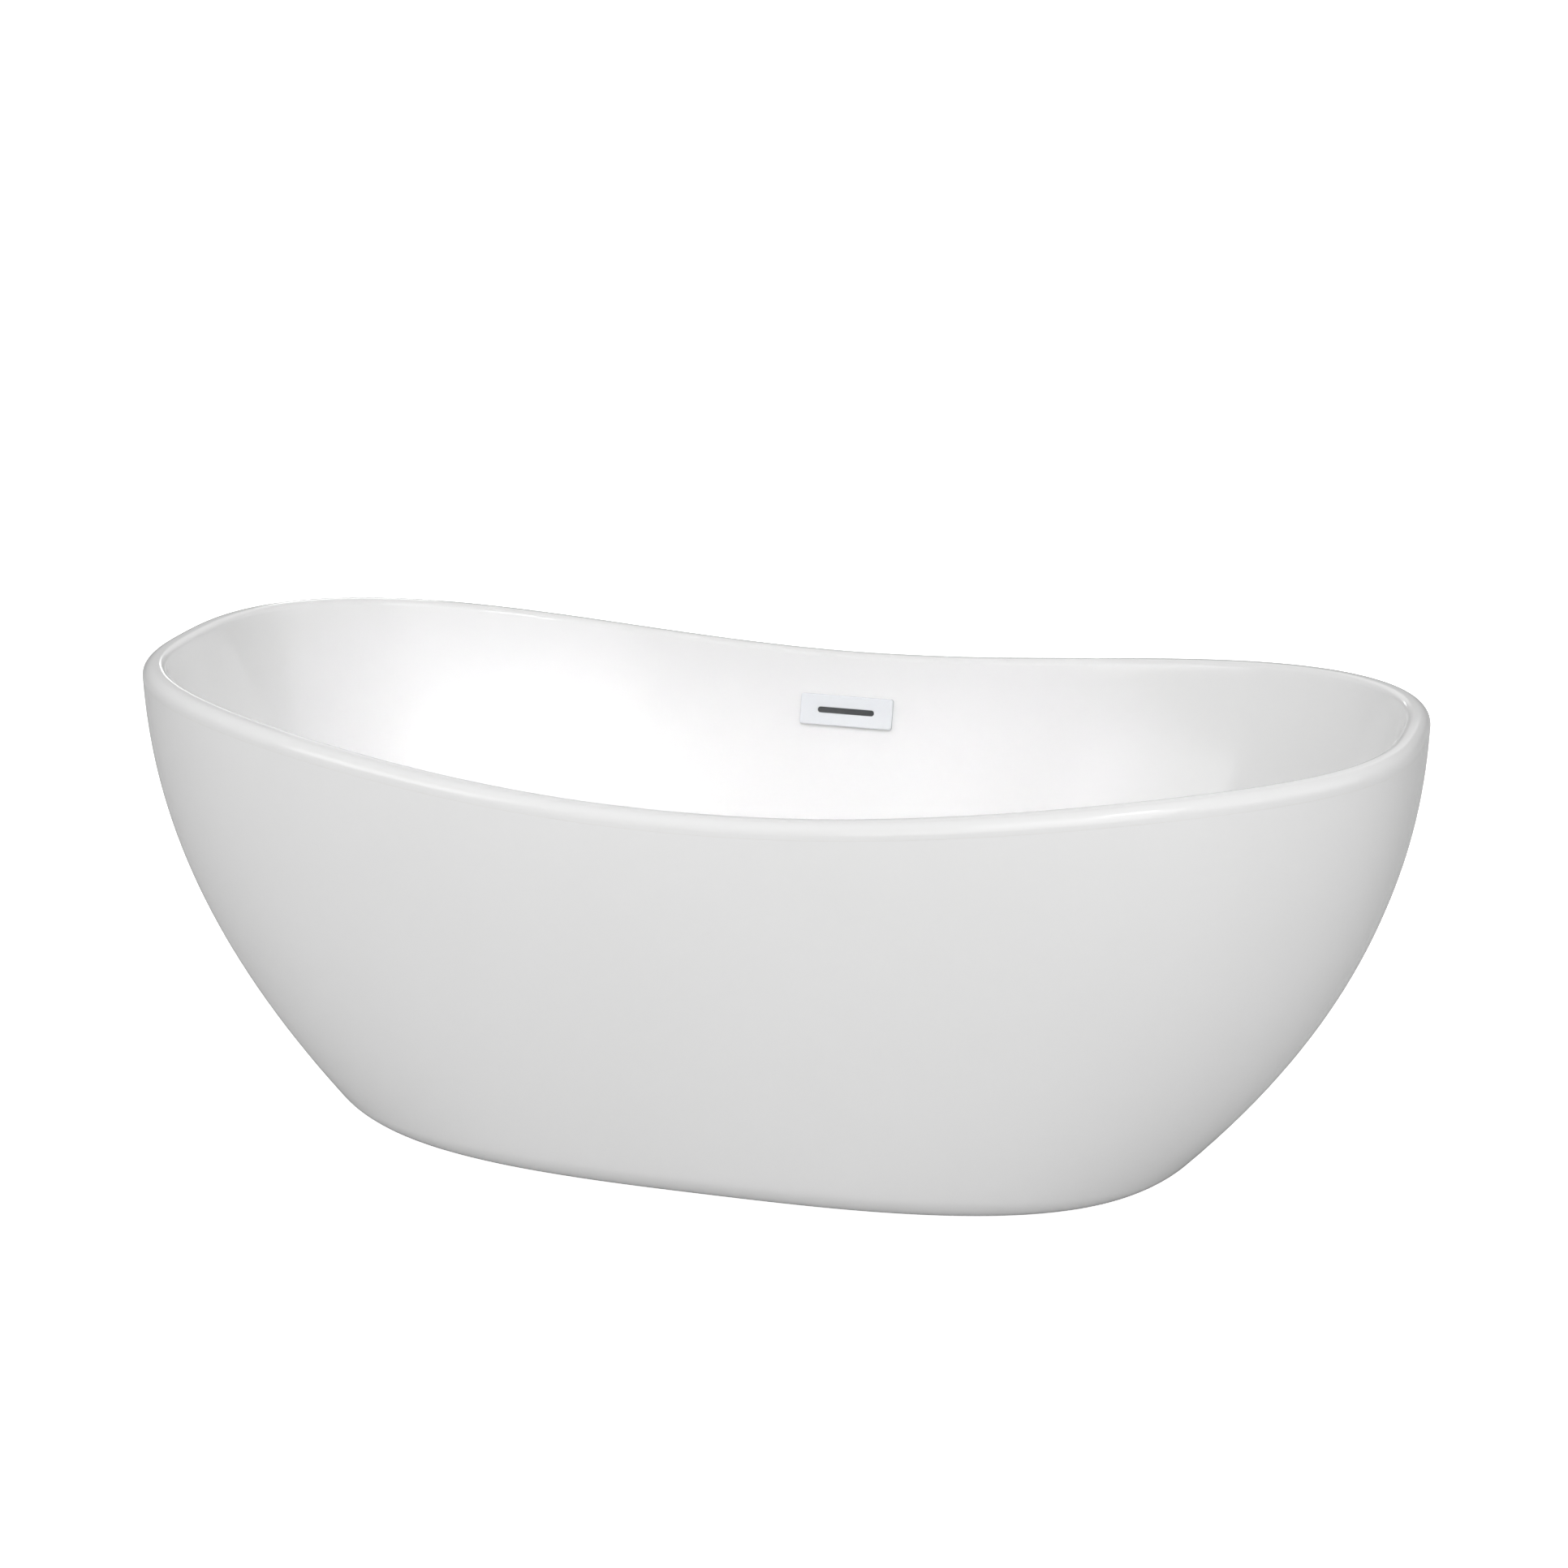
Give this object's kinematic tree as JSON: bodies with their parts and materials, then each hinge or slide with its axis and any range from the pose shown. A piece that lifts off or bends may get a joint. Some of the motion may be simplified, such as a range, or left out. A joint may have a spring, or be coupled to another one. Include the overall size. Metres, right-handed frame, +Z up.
{
  "type": "freestanding bathtub",
  "caption": "Oval double-walled freestanding bathtub with a dipped rolled rim, slotted overflow, push-to-open waste, steel under-frame and levelling feet.",
  "frame": {"origin": "on the floor under the middle of the tub", "axes": "+X along the tub, +Y across it towards the overflow, +Z up"},
  "size_m": [1.65, 0.815, 0.6],
  "materials": {
    "acrylic": "gloss white cast acrylic",
    "board": "resin-sealed plywood",
    "frame_steel": "satin grey",
    "zinc": "zinc plated",
    "chrome": "polished",
    "white_plastic": "gloss white",
    "waste_plastic": "moulded, satin",
    "hose_plastic": "flexible, satin",
    "rubber": "matt black",
    "spring_steel": "bright wire"
  },
  "bodies": {
    "tub": {"basin": "acrylic", "skirt": "acrylic", "floor_board": "board", "frame_rail_front": "frame_steel", "frame_rail_rear": "frame_steel", "frame_cross_1": "frame_steel", "frame_cross_2": "frame_steel", "frame_cross_3": "frame_steel", "frame_cross_4": "frame_steel", "foot_1_nut": "zinc", "skirt_bracket_1": "zinc", "bracket_bolt_1": "zinc", "foot_2_nut": "zinc", "skirt_bracket_2": "zinc", "bracket_bolt_2": "zinc", "foot_3_nut": "zinc", "skirt_bracket_3": "zinc", "bracket_bolt_3": "zinc", "foot_4_nut": "zinc", "skirt_bracket_4": "zinc", "bracket_bolt_4": "zinc", "waste_flange": "chrome", "waste_seal": "rubber", "waste_gasket": "rubber", "waste_tee": "waste_plastic", "waste_tailpiece": "waste_plastic", "waste_slip_nut": "waste_plastic", "stopper_cartridge": "waste_plastic", "stopper_spring": "spring_steel", "overflow_cover": "white_plastic", "overflow_body": "waste_plastic", "overflow_seal": "rubber", "overflow_gasket": "rubber", "overflow_elbow": "waste_plastic", "overflow_hose": "hose_plastic", "hose_clamp_lower": "zinc", "hose_clamp_upper": "zinc"},
    "foot_1": {"foot_1_pad": "rubber"},
    "foot_1_screw": {"foot_1_stud": "zinc"},
    "foot_2": {"foot_2_pad": "rubber"},
    "foot_2_screw": {"foot_2_stud": "zinc"},
    "foot_3": {"foot_3_pad": "rubber"},
    "foot_3_screw": {"foot_3_stud": "zinc"},
    "foot_4": {"foot_4_pad": "rubber"},
    "foot_4_screw": {"foot_4_stud": "zinc"},
    "stopper": {"stopper_cap": "white_plastic", "stopper_seal": "rubber", "stopper_stem": "zinc"}
  },
  "joints": [
    {"name": "stopper_lift", "type": "slide", "parent": "tub", "child": "stopper", "axis": [0, 0, 1], "range_m": [-0.01, 0], "stiffness_N_per_m": 400, "springref_m": 0.012, "deforming": ["stopper_spring"]},
    {"name": "foot_1_extend", "type": "slide", "parent": "tub", "child": "foot_1", "axis": [0, 0, -1], "range_m": [0, 0.014]},
    {"name": "foot_1_turn", "type": "hinge", "parent": "foot_1", "child": "foot_1_screw", "pos_m": [-0.33, -0.165, 0.02], "axis": [0, 0, 1], "range_deg": [0, 2880]},
    {"name": "foot_2_extend", "type": "slide", "parent": "tub", "child": "foot_2", "axis": [0, 0, -1], "range_m": [0, 0.014]},
    {"name": "foot_2_turn", "type": "hinge", "parent": "foot_2", "child": "foot_2_screw", "pos_m": [-0.33, 0.165, 0.02], "axis": [0, 0, 1], "range_deg": [0, 2880]},
    {"name": "foot_3_extend", "type": "slide", "parent": "tub", "child": "foot_3", "axis": [0, 0, -1], "range_m": [0, 0.014]},
    {"name": "foot_3_turn", "type": "hinge", "parent": "foot_3", "child": "foot_3_screw", "pos_m": [0.33, 0.165, 0.02], "axis": [0, 0, 1], "range_deg": [0, 2880]},
    {"name": "foot_4_extend", "type": "slide", "parent": "tub", "child": "foot_4", "axis": [0, 0, -1], "range_m": [0, 0.014]},
    {"name": "foot_4_turn", "type": "hinge", "parent": "foot_4", "child": "foot_4_screw", "pos_m": [0.33, -0.165, 0.02], "axis": [0, 0, 1], "range_deg": [0, 2880]}
  ],
  "couplings": [
    {"joint": "foot_1_turn", "follows": "foot_1_extend", "rad_per_m": 3590.4},
    {"joint": "foot_2_turn", "follows": "foot_2_extend", "rad_per_m": 3590.4},
    {"joint": "foot_3_turn", "follows": "foot_3_extend", "rad_per_m": 3590.4},
    {"joint": "foot_4_turn", "follows": "foot_4_extend", "rad_per_m": 3590.4}
  ]
}
